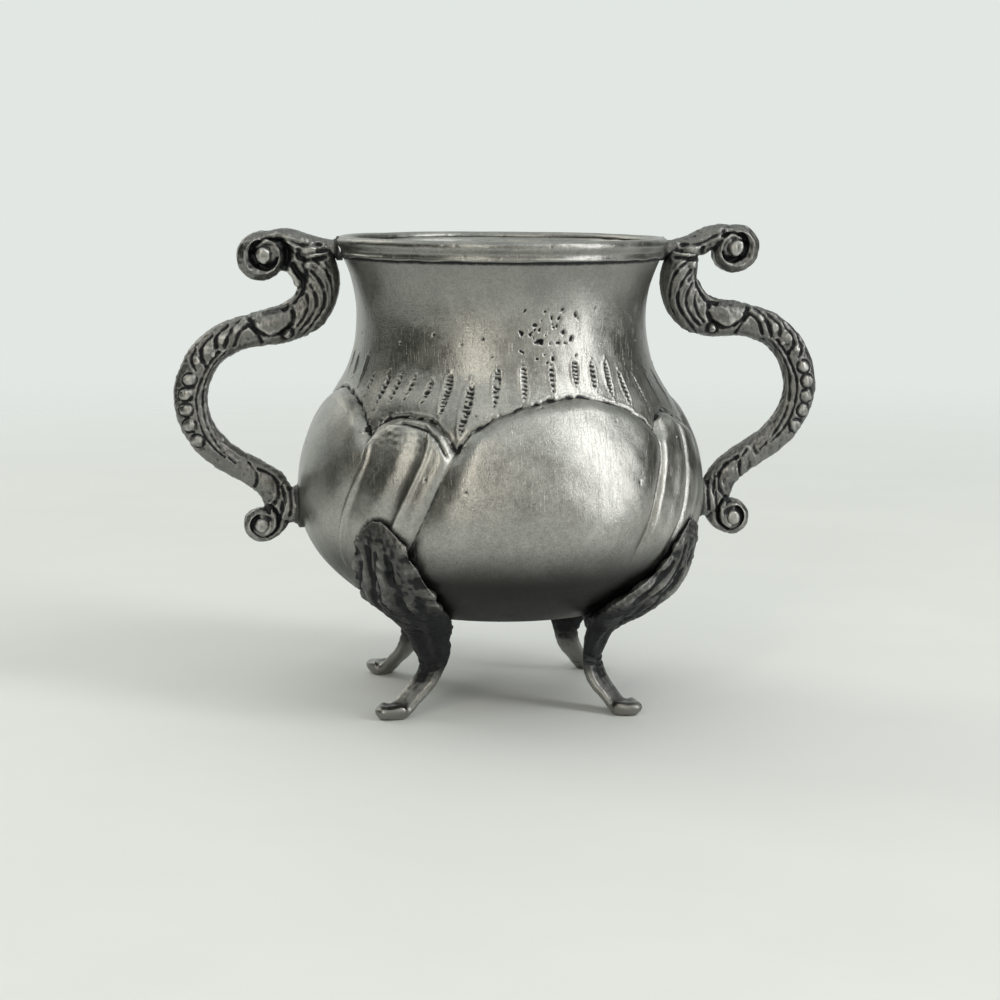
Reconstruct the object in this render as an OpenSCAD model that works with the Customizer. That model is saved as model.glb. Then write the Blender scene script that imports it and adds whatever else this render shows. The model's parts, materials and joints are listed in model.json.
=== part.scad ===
// Two-handled sugar bowl on four cast feet.
// Millimetres, +Z up, the bowl's axis is Z and the handles lie along X.
// The origin is on the table, under the middle of the bowl.

/* [Bowl] */
// Outer diameter of the belly at its widest
belly_d = 104; // [98:1:108]
// Height of the widest line above the table
belly_z = 53.5; // [52:0.5:55]
// Outer diameter at the waist of the neck
neck_d = 73.5; // [71:0.5:76]
// Height of the waist above the table
neck_z = 98; // [96:0.5:100]
// Outer diameter over the rolled rim
rim_d = 84; // [82:0.5:86]
// Height of the top of the rim above the table
bowl_h = 118.4; // [117:0.2:120]
// Height of the bowl's underside above the table
base_z = 25; // [24:0.5:26]
// Thickness of the sheet metal
wall = 1.3; // [0.9:0.1:1.6]

/* [Handles] */
// Distance across both handles
handle_span = 166; // [163:0.5:169]
// Width of the casting, front to back, at its knee
handle_w = 8.4; // [7:0.2:9.6]

/* [Feet] */
// Distance from the bowl's axis to the middle of each foot's contact
foot_r = 40.5; // [39:0.5:42]
// Angle of the feet from the front-to-back line
foot_angle = 47; // [42:1:50]
// Width of the leaf that clasps the belly
leaf_w = 18; // [14:0.5:19]

/* [Hidden] */

$fn = 200;
metal = [0.60, 0.60, 0.58];
bright_metal = [0.70, 0.70, 0.67];
dark_metal = [0.38, 0.38, 0.36];
solder_metal = [0.50, 0.50, 0.50];

// Bowl profile: an ellipse below the widest line, a taller one above it,
// an arc from the shoulder into the waist and an arc out to the rim.
belly_r = belly_d / 2;
belly_drop = 35;
belly_rise = 45;
shoulder_z = 81.5;
neck_r = neck_d / 2;
bead_r = 1.4;
bead_z = bowl_h - bead_r;
band_z = bowl_h - 4.8;
collar_r = rim_d / 2 - 1.5;
collar_in_r = collar_r - wall;
base_hole_r = 27;
profile_steps = 12;

function ellipse_r(z, r, drop, rise) =
    let (t = z < belly_z ? (belly_z - z) / drop : (z - belly_z) / rise)
    r * sqrt(1 - t * t);
function belly_at(z) = ellipse_r(z, belly_r, belly_drop, belly_rise);
function arc_radius(dz, dr) = (dz * dz + dr * dr) / (2 * dr);
shoulder_arc = arc_radius(neck_z - shoulder_z, belly_at(shoulder_z) - neck_r);
flare_arc = arc_radius(band_z - neck_z, collar_r - neck_r);
function neck_at(z) =
    let (rho = z < neck_z ? shoulder_arc : flare_arc)
    neck_r + rho - sqrt(rho * rho - (z - neck_z) * (z - neck_z));
function outer_at(z) = z < shoulder_z ? belly_at(z) : neck_at(z);
function inner_at(z) =
    z < shoulder_z ? ellipse_r(z, belly_r - wall, belly_drop - wall, belly_rise - wall)
                   : neck_at(z) - wall;
function ramp(a, b, n) = [for (i = [0:n]) a + (b - a) * i / n];
profile_z = concat(
    ramp(base_z, belly_z, profile_steps),
    ramp(belly_z + 2, shoulder_z, profile_steps),
    ramp(shoulder_z + 1, neck_z, profile_steps),
    ramp(neck_z + 1, band_z, profile_steps)
);
inside_z = [for (z = profile_z) if (z > base_z + wall) z];
outer_line = [for (z = profile_z) [outer_at(z), z]];
inner_line = [for (i = [len(inside_z) - 1:-1:0]) [inner_at(inside_z[i]), inside_z[i]]];

// Rolled bead at the top of the rim and the band's tapered skirt below it
bead_mid_r = rim_d / 2 - bead_r;
skirt_r = collar_r + 0.5;
bead_start = -25;
bead_line = [
    for (a = [bead_start:15:180])
        [bead_mid_r + bead_r * cos(a), bead_z + bead_r * sin(a)]
];

// Handle: the S-scroll's middle line in the X-Z plane, from the cross band
// under the rim to the curl below the belly joint.
// Each row is [distance from the axis, height, half thickness, half width factor].
reach = handle_span / 2 - 83;
scroll_rows = [
    [47.0, 114.0, 4.2, 0.90],
    [46.0, 107.0, 5.1, 1.00],
    [48.9, 100.2, 5.4, 1.00],
    [55.2, 96.9, 4.9, 0.96],
    [63.0, 95.7, 4.3, 0.88],
    [70.2, 93.3, 4.2, 0.84],
    [75.4, 88.6, 4.2, 0.82],
    [78.5 + reach, 81.2, 4.3, 0.82],
    [77.9 + reach, 74.0, 4.2, 0.80],
    [74.0, 67.2, 4.0, 0.76],
    [68.2, 62.5, 3.7, 0.74],
    [62.2, 59.0, 3.8, 0.74],
    [58.2, 55.4, 4.1, 0.80],
    [56.6, 50.5, 3.8, 0.84],
    [57.6, 45.6, 2.8, 0.76],
    [60.6, 42.2, 1.5, 0.70]
];
crest_rows = [
    [44.6, 115.2, 2.4, 0.56],
    [49.5, 115.8, 3.2, 0.80],
    [54.5, 117.6, 3.2, 0.82],
    [59.0, 118.1, 2.2, 0.80],
    [63.2, 116.6, 1.8, 0.72]
];
scroll_sides = 14;
scroll_steps = 4;
crest_steps = 3;
volute = [60.7, 114.1];
volute_r = 6.1;
curl = [61.1, 45.6];
curl_r = 4.5;
tab_z = 115.3;
tab_r = 2.2;
tab_end = 46;
lug_z = 50.5;
lug_r = 4.6;
lug_end = 56;
joint_depth = 3;

// Foot: middle line in the upright plane through the bowl's axis, from the tip
// of the leaf to the toe.
// Each row is [distance from the axis, height, half thickness, half width].
toe_shift = foot_r - 40.5;
leaf_top_z = 48.5;
leaf_rows = [
    for (row = [[0, 0.5, 1.2], [0.14, 1.0, 5.0], [0.36, 1.35, 8.0], [0.60, 1.6, 9.0], [0.80, 1.7, 8.4]])
        let (
            z = leaf_top_z - row[0] * (leaf_top_z - 29.5),
            slope = belly_r * belly_r * (belly_z - z) / (belly_drop * belly_drop),
            run = norm([belly_at(z), slope])
        )
        [
            belly_at(z) + row[1] * belly_at(z) / run,
            z - row[1] * slope / run,
            row[1],
            row[2] * leaf_w / 18
        ]
];
leg_rows = [
    [38.2, 27.6, 2.2, 7.0],
    [34.0, 24.6, 2.8, 5.6],
    [31.0, 21.0, 2.4, 4.8],
    [29.4, 16.5, 2.0, 4.2],
    [29.0, 12.0, 1.8, 3.9],
    [30.4, 8.0, 1.7, 3.8],
    [33.8 + toe_shift, 4.6, 1.6, 3.9],
    [38.0 + toe_shift, 1.6, 1.9, 4.3],
    [42.2 + toe_shift, 1.4, 1.8, 4.5],
    [45.0 + toe_shift, 3.4, 1.6, 3.6],
    [45.8 + toe_shift, 5.2, 0.9, 1.8]
];
foot_sides = 14;
foot_steps = 2;
stem_r = 31.4;
stem_w = 4.0;
stem_low = 21.5;
bead_w = 1.3;
tab_bead_w = 0.85;
stem_turn = 140;

// A smooth line through rows of numbers, with the given steps between rows
function between(a, b, c, d, t) =
    0.5 * (2 * b + (c - a) * t + (2 * a - 5 * b + 4 * c - d) * t * t
    + (3 * b - a - 3 * c + d) * t * t * t);
function smooth(rows, steps) =
    let (last = len(rows) - 1)
    concat(
        [
            for (i = [0:last - 1])
                let (
                    a = i == 0 ? 2 * rows[0] - rows[1] : rows[i - 1],
                    d = i == last - 1 ? 2 * rows[last] - rows[last - 1] : rows[i + 2]
                )
                for (k = [0:steps - 1])
                    between(a, rows[i], rows[i + 1], d, k / steps)
        ],
        [rows[last]]
    );
function heading(line, i) =
    let (
        step = line[min(i + 1, len(line) - 1)] - line[max(i - 1, 0)],
        flat = [step[0], step[1]]
    )
    flat / norm(flat);

// Oval sections along a line, as one closed solid. With wrap set, each section
// bends round the bowl's axis, and nothing goes below the table.
function section_point(line, i, angle, wrap) =
    let (
        t = heading(line, i),
        off = line[i][2] * cos(angle),
        side = line[i][3] * sin(angle),
        r = line[i][0] - t[1] * off,
        z = line[i][1] + t[0] * off,
        turn = wrap ? side / r * 180 / PI : 0
    )
    wrap ? [r * cos(turn), r * sin(turn), max(z, 0)] : [r, side, z];
module sweep(line, sides, wrap = false) {
    rings = len(line);
    points = [
        for (i = [0:rings - 1])
            for (k = [0:sides - 1])
                section_point(line, i, 360 * k / sides, wrap)
    ];
    walls = [
        for (i = [0:rings - 2])
            for (k = [0:sides - 1])
                let (n = (k + 1) % sides)
                for (f = [
                    [i * sides + k, (i + 1) * sides + n, (i + 1) * sides + k],
                    [i * sides + k, i * sides + n, (i + 1) * sides + n]
                ])
                    f
    ];
    start = [for (k = [sides - 1:-1:0]) k];
    end = [for (k = [0:sides - 1]) (rings - 1) * sides + k];
    polyhedron(points, concat([start], walls, [end]));
}

// Everything inside the bowl's outer surface, for cutting what is joined to it
module bowl_envelope() {
    rotate_extrude()
        polygon(concat([[0, base_z]], outer_line, [[collar_r, bead_z], [0, bead_z]]));
}
module rim_envelope() {
    rotate_extrude()
        polygon(concat([[0, band_z], [skirt_r, band_z]], bead_line, [[0, bead_z]]));
}

module bowl_body() {
    color(metal)
        rotate_extrude()
            polygon(concat(
                [[base_hole_r, base_z]],
                outer_line,
                [[collar_r, bead_z], [collar_in_r, bead_z], [collar_in_r, band_z]],
                inner_line,
                [[base_hole_r, base_z + wall]]
            ));
}

module base_disc() {
    color(metal)
        translate([0, 0, base_z])
            cylinder(h = wall, r = base_hole_r);
}

module rim_band() {
    color(bright_metal)
        rotate_extrude()
            polygon(concat(
                [[collar_r, band_z], [skirt_r, band_z]],
                bead_line,
                [[collar_r, bead_z]]
            ));
}

// A round scroll end with a raised button, lying in the handle's plane
module scroll_end(centre, r, half_w) {
    translate([centre[0], 0, centre[1]])
        rotate([90, 0, 0])
            rotate_extrude()
                polygon([
                    [0, -half_w],
                    [0.28 * r, -half_w],
                    [0.40 * r, -0.70 * half_w],
                    [0.72 * r, -half_w],
                    [r, -0.45 * half_w],
                    [r, 0.45 * half_w],
                    [0.72 * r, half_w],
                    [0.40 * r, 0.70 * half_w],
                    [0.28 * r, half_w],
                    [0, half_w]
                ]);
}

function with_width(rows) = [for (row = rows) [row[0], row[1], row[2], row[3] * handle_w / 2]];

// One casting, drawn on the +X side
module handle_casting() {
    difference() {
        union() {
            sweep(smooth(with_width(scroll_rows), scroll_steps), scroll_sides);
            sweep(smooth(with_width(crest_rows), crest_steps), scroll_sides);
            scroll_end(volute, volute_r, 0.42 * handle_w);
            scroll_end(curl, curl_r, 0.34 * handle_w);
            translate([collar_r, 0, tab_z])
                rotate([0, 90, 0])
                    cylinder(h = tab_end - collar_r, r = tab_r);
            translate([belly_r - joint_depth, 0, lug_z])
                rotate([0, 90, 0])
                    cylinder(h = lug_end - belly_r + joint_depth, r = lug_r);
        }
        bowl_envelope();
        rim_envelope();
    }
}
module handle_left() {
    color(dark_metal)
        rotate([0, 0, 180])
            handle_casting();
}
module handle_right() {
    color(dark_metal)
        handle_casting();
}

// One cast foot, drawn on the +X side
module foot_casting() {
    difference() {
        union() {
            sweep(smooth(concat(leaf_rows, leg_rows), foot_steps), foot_sides, true);
            translate([stem_r, 0, stem_low])
                cylinder(h = base_z + joint_depth - stem_low, r = stem_w);
        }
        bowl_envelope();
    }
}
module at_foot(side, end) {
    rotate([0, 0, end * 90 + side * end * -foot_angle])
        children();
}
module front_left_foot() { color(dark_metal) at_foot(-1, -1) foot_casting(); }
module front_right_foot() { color(dark_metal) at_foot(1, -1) foot_casting(); }
module back_left_foot() { color(dark_metal) at_foot(-1, 1) foot_casting(); }
module back_right_foot() { color(dark_metal) at_foot(1, 1) foot_casting(); }

// A ring of solder that fills the corner round a post, reaching depth into the bowl
module solder_ring(post_r, w, depth, turn = 360) {
    rotate([0, 0, -turn / 2])
        rotate_extrude(angle = turn)
            polygon([
                [post_r, -depth],
                [post_r + w, -depth],
                [post_r + w, 0],
                [post_r + 0.35 * w, 0.35 * w],
                [post_r, w]
            ]);
}
module solder_handle_top() {
    color(solder_metal)
        difference() {
            translate([rim_d / 2 - 0.2, 0, tab_z])
                rotate([0, 90, 0])
                    solder_ring(tab_r, tab_bead_w, bead_r);
            rim_envelope();
            bowl_envelope();
        }
}
module solder_handle_bottom() {
    color(solder_metal)
        difference() {
            translate([belly_r - 0.3, 0, lug_z])
                rotate([0, 90, 0])
                    solder_ring(lug_r, bead_w, joint_depth);
            bowl_envelope();
        }
}
module solder_foot() {
    color(solder_metal)
        difference() {
            translate([stem_r, 0, base_z - 0.2])
                rotate([180, 0, 180])
                    solder_ring(stem_w, bead_w, joint_depth, stem_turn);
            bowl_envelope();
        }
}
module solder_handle_top_left() { rotate([0, 0, 180]) solder_handle_top(); }
module solder_handle_top_right() { solder_handle_top(); }
module solder_handle_bottom_left() { rotate([0, 0, 180]) solder_handle_bottom(); }
module solder_handle_bottom_right() { solder_handle_bottom(); }
module solder_front_left_foot() { at_foot(-1, -1) solder_foot(); }
module solder_front_right_foot() { at_foot(1, -1) solder_foot(); }
module solder_back_left_foot() { at_foot(-1, 1) solder_foot(); }
module solder_back_right_foot() { at_foot(1, 1) solder_foot(); }

bowl_body();
base_disc();
rim_band();
handle_left();
handle_right();
front_left_foot();
front_right_foot();
back_left_foot();
back_right_foot();
solder_handle_top_left();
solder_handle_top_right();
solder_handle_bottom_left();
solder_handle_bottom_right();
solder_front_left_foot();
solder_front_right_foot();
solder_back_left_foot();
solder_back_right_foot();
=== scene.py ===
"""Looks of a two-handled sugar bowl: a chased body, cast handles and feet, worn satin metal."""

import json
import math

import bmesh
import bpy
import numpy as np
from mathutils import Matrix, Vector
from mathutils.kdtree import KDTree


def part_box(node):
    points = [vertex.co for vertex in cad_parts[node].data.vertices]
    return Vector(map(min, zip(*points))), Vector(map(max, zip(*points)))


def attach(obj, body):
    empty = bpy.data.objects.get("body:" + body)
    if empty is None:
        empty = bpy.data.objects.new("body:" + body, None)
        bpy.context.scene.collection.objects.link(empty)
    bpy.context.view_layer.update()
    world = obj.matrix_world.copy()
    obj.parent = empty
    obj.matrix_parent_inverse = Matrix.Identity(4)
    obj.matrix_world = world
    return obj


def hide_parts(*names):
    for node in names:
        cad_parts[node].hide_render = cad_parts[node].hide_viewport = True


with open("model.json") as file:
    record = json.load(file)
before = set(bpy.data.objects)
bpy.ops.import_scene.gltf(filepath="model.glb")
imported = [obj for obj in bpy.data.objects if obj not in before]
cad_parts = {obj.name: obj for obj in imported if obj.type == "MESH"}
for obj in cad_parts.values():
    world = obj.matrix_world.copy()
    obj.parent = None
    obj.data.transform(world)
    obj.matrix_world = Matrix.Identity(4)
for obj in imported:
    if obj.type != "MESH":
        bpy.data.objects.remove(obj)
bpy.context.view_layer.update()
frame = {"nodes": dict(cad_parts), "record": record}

# ---------------------------------------------------------------- sizes, in millimetres
MM = 0.001
bowl_low, bowl_high = (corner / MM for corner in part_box("bowl_body"))
rim_low, rim_high = (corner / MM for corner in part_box("rim_band"))
disc_low, disc_high = (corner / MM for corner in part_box("base_disc"))
BELLY_R = bowl_high.x
BASE_Z = bowl_low.z
COLLAR_TOP = bowl_high.z
BAND_Z = rim_low.z
RIM_R = rim_high.x
RIM_TOP = rim_high.z
WALL = disc_high.z - disc_low.z
COLLAR_R = RIM_R - 1.5
HOLE_R = disc_high.x
# The body's turned profile, as in the CAD: the widest line, the ellipses below and above
# it, and the shoulder and waist of the neck.
BELLY_Z = 53.5
BELLY_DROP = 35.0
BELLY_RISE = 45.0
SHOULDER_Z = 81.5
NECK_Z = 98.0
NECK_R = 36.75

# ---------------------------------------------------------------- small helpers


def soft_step(x):
    """0 to 1 with smooth ends."""
    x = np.clip(x, 0, 1)
    return x * x * (3 - 2 * x)


def hump(distance, width):
    """1 on a line or point, falling smoothly to nothing past its width."""
    return np.exp(-((distance / width) ** 2))


def smooth_line(points, steps=6):
    """A Catmull-Rom line through the points."""
    p = np.array(points, float)
    p = np.vstack([2 * p[0] - p[1], p, 2 * p[-1] - p[-2]])
    t = np.linspace(0, 1, steps, endpoint=False)[:, None]
    parts = []
    for a, b, c, d in zip(p, p[1:], p[2:], p[3:]):
        bend = (2 * a - 5 * b + 4 * c - d) * t**2 + (3 * b - a - 3 * c + d) * t**3
        parts.append(0.5 * (2 * b + (c - a) * t + bend))
    return np.vstack(parts + [p[-2:-1]])


def ripple(points, size, seed, waves=10):
    """A smooth random field of about unit height whose bumps have the given size."""
    draw = np.random.default_rng(seed)
    ways = draw.normal(size=(waves, points.shape[1]))
    ways *= (draw.uniform(0.7, 1.5, waves) / np.linalg.norm(ways, axis=1))[:, None]
    phases = draw.uniform(0, 2 * math.pi, waves)
    return np.sin(points @ (ways * 2 * math.pi / size).T + phases).sum(1) / math.sqrt(waves / 2)


def line_distance(u, v, line):
    """Distance from each (u, v) to a line of points."""
    nearest = np.full(u.shape, 1e9)
    for (u0, v0), (u1, v1) in zip(line, line[1:]):
        du, dv = u1 - u0, v1 - v0
        t = np.clip(((u - u0) * du + (v - v0) * dv) / (du * du + dv * dv), 0, 1)
        nearest = np.minimum(nearest, (u - u0 - t * du) ** 2 + (v - v0 - t * dv) ** 2)
    return np.sqrt(nearest)


def vertex_array(mesh):
    points = np.empty(len(mesh.vertices) * 3)
    mesh.vertices.foreach_get("co", points)
    return points.reshape(-1, 3) / MM


def normal_array(mesh):
    normals = np.empty(len(mesh.vertices) * 3)
    mesh.vertex_normals.foreach_get("vector", normals)
    return normals.reshape(-1, 3)


def move_vertices(mesh, points):
    mesh.vertices.foreach_set("co", (points * MM).astype(np.float32).ravel())
    mesh.update()


def edge_array(mesh):
    edges = np.empty(len(mesh.edges) * 2, int)
    mesh.edges.foreach_get("vertices", edges)
    return edges.reshape(-1, 2)


def averaged(points, edges, rounds):
    """The points after each has moved to the mean of its neighbours, that many times."""
    count = len(points)
    ends = np.concatenate([edges[:, 0], edges[:, 1]])
    others = np.concatenate([edges[:, 1], edges[:, 0]])
    degree = np.maximum(np.bincount(ends, minlength=count), 1)
    for _ in range(rounds):
        points = np.stack(
            [np.bincount(ends, points[others, k], minlength=count) / degree for k in range(3)], 1
        )
    return points


def set_attribute(mesh, name, values):
    attribute = mesh.attributes.new(name, "FLOAT", "POINT")
    attribute.data.foreach_set("value", np.clip(values, 0, 1).astype(np.float32))


# Depth of a cut, in millimetres, that dirt fills completely.
CUT_FULL = 0.4


def age(mesh, rounds, dirty, rubbed, extra=0.0, cut=0.0):
    """Stores where dirt gathers and where handling rubs, from how hollow the surface is.

    dirty and rubbed are the hollowness, in millimetres, at which each begins and is complete.
    Dirt also fills whatever was cut into the surface, whose height is given by cut, and extra adds
    to it; some of these cuts and extras are painted shade.
    """
    points, normals, edges = vertex_array(mesh), normal_array(mesh), edge_array(mesh)
    near = averaged(points, edges, rounds[0])
    far = averaged(near, edges, rounds[1])
    hollow = ((near - points) * normals).sum(1) + 0.6 * ((far - near) * normals).sum(1)
    dirt = np.clip((hollow - dirty[0]) / (dirty[1] - dirty[0]), 0, 1)
    set_attribute(mesh, "patina_and_shade", np.maximum(dirt, -cut / CUT_FULL) + extra)
    set_attribute(mesh, "worn", (hollow - rubbed[0]) / (rubbed[1] - rubbed[0]))


def make_object(name, mesh, nodes):
    """One piece of the visual model, standing in for the CAD nodes that it hides."""
    piece = bpy.data.objects.new(name, mesh)
    bpy.context.scene.collection.objects.link(piece)
    mesh.shade_smooth()
    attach(piece, "root")
    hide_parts(*nodes)
    return piece


# ---------------------------------------------------------------- the turned profile


def ellipse_radius(z):
    t = np.where(z < BELLY_Z, (BELLY_Z - z) / BELLY_DROP, (z - BELLY_Z) / BELLY_RISE)
    return BELLY_R * np.sqrt(np.maximum(1 - t * t, 0))


def arc_radius(height, change):
    return (height**2 + change**2) / (2 * change)


SHOULDER_ARC = arc_radius(NECK_Z - SHOULDER_Z, float(ellipse_radius(SHOULDER_Z)) - NECK_R)
FLARE_ARC = arc_radius(BAND_Z - NECK_Z, COLLAR_R - NECK_R)
SHOULDER_BLEND = 6.0


def waist_radius(z):
    arc = np.where(z < NECK_Z, SHOULDER_ARC, FLARE_ARC)
    return NECK_R + arc - np.sqrt(np.maximum(arc**2 - (z - NECK_Z) ** 2, 0))


def slope_at(curve, z):
    return float(curve(z + 0.01) - curve(z - 0.01)) / 0.02


SHOULDER_BEND = slope_at(waist_radius, SHOULDER_Z) - slope_at(ellipse_radius, SHOULDER_Z)


def bowl_radius(z):
    """Outer radius of the plain bowl at each height, with the shoulder's corner rounded."""
    near = np.maximum(SHOULDER_BLEND - abs(z - SHOULDER_Z), 0)
    fillet = SHOULDER_BEND * near**2 / (4 * SHOULDER_BLEND)
    body = np.where(z < SHOULDER_Z, ellipse_radius(z), waist_radius(z)) + fillet
    return np.where(z < BAND_Z, body, COLLAR_R)


# ---------------------------------------------------------------- chasing on the body
# Outlines are [degrees round from the front, height]. The pattern repeats after half a turn.
FRONT_LEFT = (-21, 69.5)
FRONT_RIGHT = (46.5, 72.5)
SIDE_RIGHT = (75, 70.5)
SIDE_LEFT = (-51, 71.6)
ARCHES = [
    [(-90, 79.8), (-80, 81.5), (-70, 80.4), (-62, 78.6), (-56, 75.6), SIDE_LEFT],
    [SIDE_LEFT, (-47.5, 74.8), (-42, 76.5), (-35, 76.6), (-29, 75.6), (-24.5, 73.2), FRONT_LEFT],
    [
        FRONT_LEFT, (-17, 73.4), (-9, 77.2), (0, 79.7), (10, 81), (20, 81.4), (30, 80), (39, 77.2),
        FRONT_RIGHT,
    ],
    [FRONT_RIGHT, (51, 75.8), (57, 76.4), (64, 74.4), (70, 72.4), SIDE_RIGHT],
    [SIDE_RIGHT, (79, 75), (84, 78), (90, 79.8)],
]
SIDES = [
    [SIDE_LEFT, (-50.5, 66), (-53, 60), (-56, 54.5), (-59, 48), (-62, 42), (-64, 36)],
    [FRONT_LEFT, (-23, 65), (-25.5, 60), (-28.5, 54), (-32.5, 47), (-37, 41), (-40, 36)],
    [FRONT_RIGHT, (45, 67.5), (42.3, 62.5), (39.3, 56.5), (36.8, 50), (34, 42), (33, 36)],
    [SIDE_RIGHT, (73, 66), (70, 60), (67, 54), (63.5, 48), (60, 42), (58, 36)],
]
# Ribs across a panel: [share of the panel's width, height]
LEFT_RIBS = [
    (0, 0), (0.07, 1.15), (0.14, 0.1), (0.26, 0.25), (0.42, 0.6), (0.5, 0.35), (0.61, -0.5),
    (0.69, -0.4), (0.74, 0.85), (0.8, 0.5), (0.93, 0.75), (1, 0),
]
RIGHT_RIBS = [
    (0, 0), (0.06, 0.55), (0.13, 0.3), (0.22, 0.1), (0.33, 0.6), (0.43, 0.25), (0.5, -0.7),
    (0.57, 0.15), (0.7, 0.55), (0.86, 0.4), (1, 0),
]
# Strokes over the lobes: [degrees, top, foot, width, lean in degrees, hatched]
STROKES = [
    (-85.5, 89.5, 85.2, 1.6, 0, False), (-78, 89.5, 84.2, 1.7, 0, False),
    (-68, 90.4, 82.6, 2.0, 1, False), (-60.8, 86, 80.6, 1.3, 0.5, True),
    (-52.3, 86.8, 78.4, 2.1, 0.5, True), (-46.4, 86.8, 78.7, 1.6, 1.2, True),
    (-40.3, 86.2, 78.8, 1.7, 2, True), (-33.2, 85, 79, 1.9, 2, True),
    (-26.8, 86.6, 76.8, 2.7, 0.8, True), (-18.7, 85.4, 72.8, 3.0, 1.8, True),
    (-9.6, 88.2, 79, 2.3, 0.8, True), (-0.3, 89.6, 80.9, 2.1, 0, True),
    (10.2, 90.2, 82.6, 1.5, 0, True), (19.5, 90.2, 83.3, 2.2, 0.2, True),
    (26.9, 89.7, 82.2, 1.9, 0.2, True), (33.6, 89.6, 81.2, 1.9, 0.4, True),
    (40, 87.2, 78.6, 1.7, 0.3, True), (48, 86, 77.8, 1.1, 0.3, True),
    (58, 86, 79.2, 2.0, 0, False), (67.5, 85.4, 76.8, 2.2, 0.6, False),
    (76.5, 86, 78.5, 1.8, 0, False),
]
STROKE_SHIFT = 0.7
RUNG_PITCH = 0.95
# The side lines and ribs fade out between these heights.
PANEL_FOOT = 37.0
PANEL_FULL = 47.0
# Pits: how many, and where their cluster lies in degrees and height
CLUSTER_PITS = 36
CLUSTER = ((8, 6.5), (96.2, 3.8))
STRAY_PITS = 60
PIT_DEPTH = 0.6
# How far soldering grime and painted shade reach from a casting, and the height above which there
# is none
GRIME_AND_SHADE_REACH = 2.2
GRIME_AND_SHADE_TOP = 60.0


def folded(angle):
    """The angle in degrees brought into the half turn that the pattern repeats over."""
    return (angle + 90) % 180 - 90


def chased_distance(angle, z, radius, stretch, line):
    """Distance over the metal from each place to a line of [degrees, height]."""
    nearest = np.full(angle.shape, 1e9)
    per_degree = radius * math.pi / 180
    for (a0, z0), (a1, z1) in zip(line, line[1:]):
        u = folded(angle - a0) * per_degree
        v = (z - z0) * stretch
        du = (a1 - a0) * per_degree
        dv = (z1 - z0) * stretch
        t = np.clip((u * du + v * dv) / (du * du + dv * dv), 0, 1)
        nearest = np.minimum(nearest, (u - t * du) ** 2 + (v - t * dv) ** 2)
    return np.sqrt(nearest)


def side_angle(side, z):
    line = smooth_line(SIDES[side])[::-1]
    return np.interp(z, line[:, 1], line[:, 0])


def panel_ribs(angle, z, left, right, ribs):
    """Height of the long ribs between two side lines."""
    start, end = side_angle(left, z), side_angle(right, z)
    share = (folded(angle) - start) / (end - start)
    line = smooth_line(ribs)
    height = np.interp(share, line[:, 0], line[:, 1])
    return np.where((share > 0) & (share < 1), height, 0)


def body_lobes(angle, z, radius, stretch):
    """The broad relief that shows inside and outside, and the distances to the chased lines."""
    arch = np.vstack([smooth_line(points)[:-1] for points in ARCHES] + [[(90, 79.8)]])
    below = z < np.interp(folded(angle), arch[:, 0], arch[:, 1])
    to_arch = chased_distance(angle, z, radius, stretch, arch)
    to_side = np.min(
        [chased_distance(angle, z, radius, stretch, smooth_line(side)) for side in SIDES], axis=0
    )
    strength = soft_step((z - PANEL_FOOT) / (PANEL_FULL - PANEL_FOOT))
    crease = -1.35 * (1 - np.minimum(to_side / 6.5, 1)) ** 2 * strength
    lobe_edge = 0.55 * hump(to_arch, 11) - 1.35 * (1 - np.minimum(to_arch / 4.2, 1)) ** 2
    neck_edge = -0.8 * (1 - np.minimum(to_arch / 8, 1)) ** 2
    ribs = panel_ribs(angle, z, 0, 1, LEFT_RIBS) + panel_ribs(angle, z, 2, 3, RIGHT_RIBS)
    ribs = ribs * strength * soft_step(to_arch / 3.5) * below
    return crease + np.where(below, lobe_edge, neck_edge) + ribs, to_arch, to_side, below, strength


def chased_lines(angle, z, to_arch, to_side, below, strength, flat):
    """The torn cuts along the outlines, with their burrs and the welt over the left panel."""
    often = 0.55 + 0.6 * soft_step(0.5 + ripple(flat, 10, 12))
    tear = soft_step(0.3 + 0.8 * ripple(flat, 3.4, 7)) * often
    wander = 0.16 * ripple(flat, 4.0, 11) + 0.08 * ripple(flat, 1.5, 13)
    side = np.where(below, -1.0, 1.0)
    across = to_arch * side + wander
    cut = -(0.26 + 0.36 * tear) * hump(across - 0.15, 0.26 + 0.22 * tear)
    burr = 0.16 * (0.3 + tear) * hump(across + 0.85, 0.32) + 0.12 * hump(across - 0.95, 0.3)
    turn = folded(angle)
    gouge = soft_step(1.3 - abs(turn + 49) / 9) * soft_step(0.6 + 0.8 * ripple(flat, 1.7, 14))
    cut -= 0.4 * gouge * hump(across - 0.5, 0.8)
    seam = -0.16 * soft_step((z - 50) / 12) * tear * hump(to_side, 0.28)
    welt_here = soft_step((turn + 41) / 4) * soft_step((-22 - turn) / 2) * below
    band = soft_step((to_arch - 0.4) / 0.4) * soft_step((2.2 - to_arch) / 0.4)
    welt = welt_here * (0.4 * band - 0.4 * hump(to_arch - 2.5, 0.3))
    crinkled = soft_step((turn + 50) / 6) * soft_step((-21 - turn) / 5) * below
    crinkled = crinkled * soft_step((z - 64) / 7)
    return cut + burr + seam + welt + 0.03 * crinkled * ripple(flat, 1.4, 15)


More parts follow.
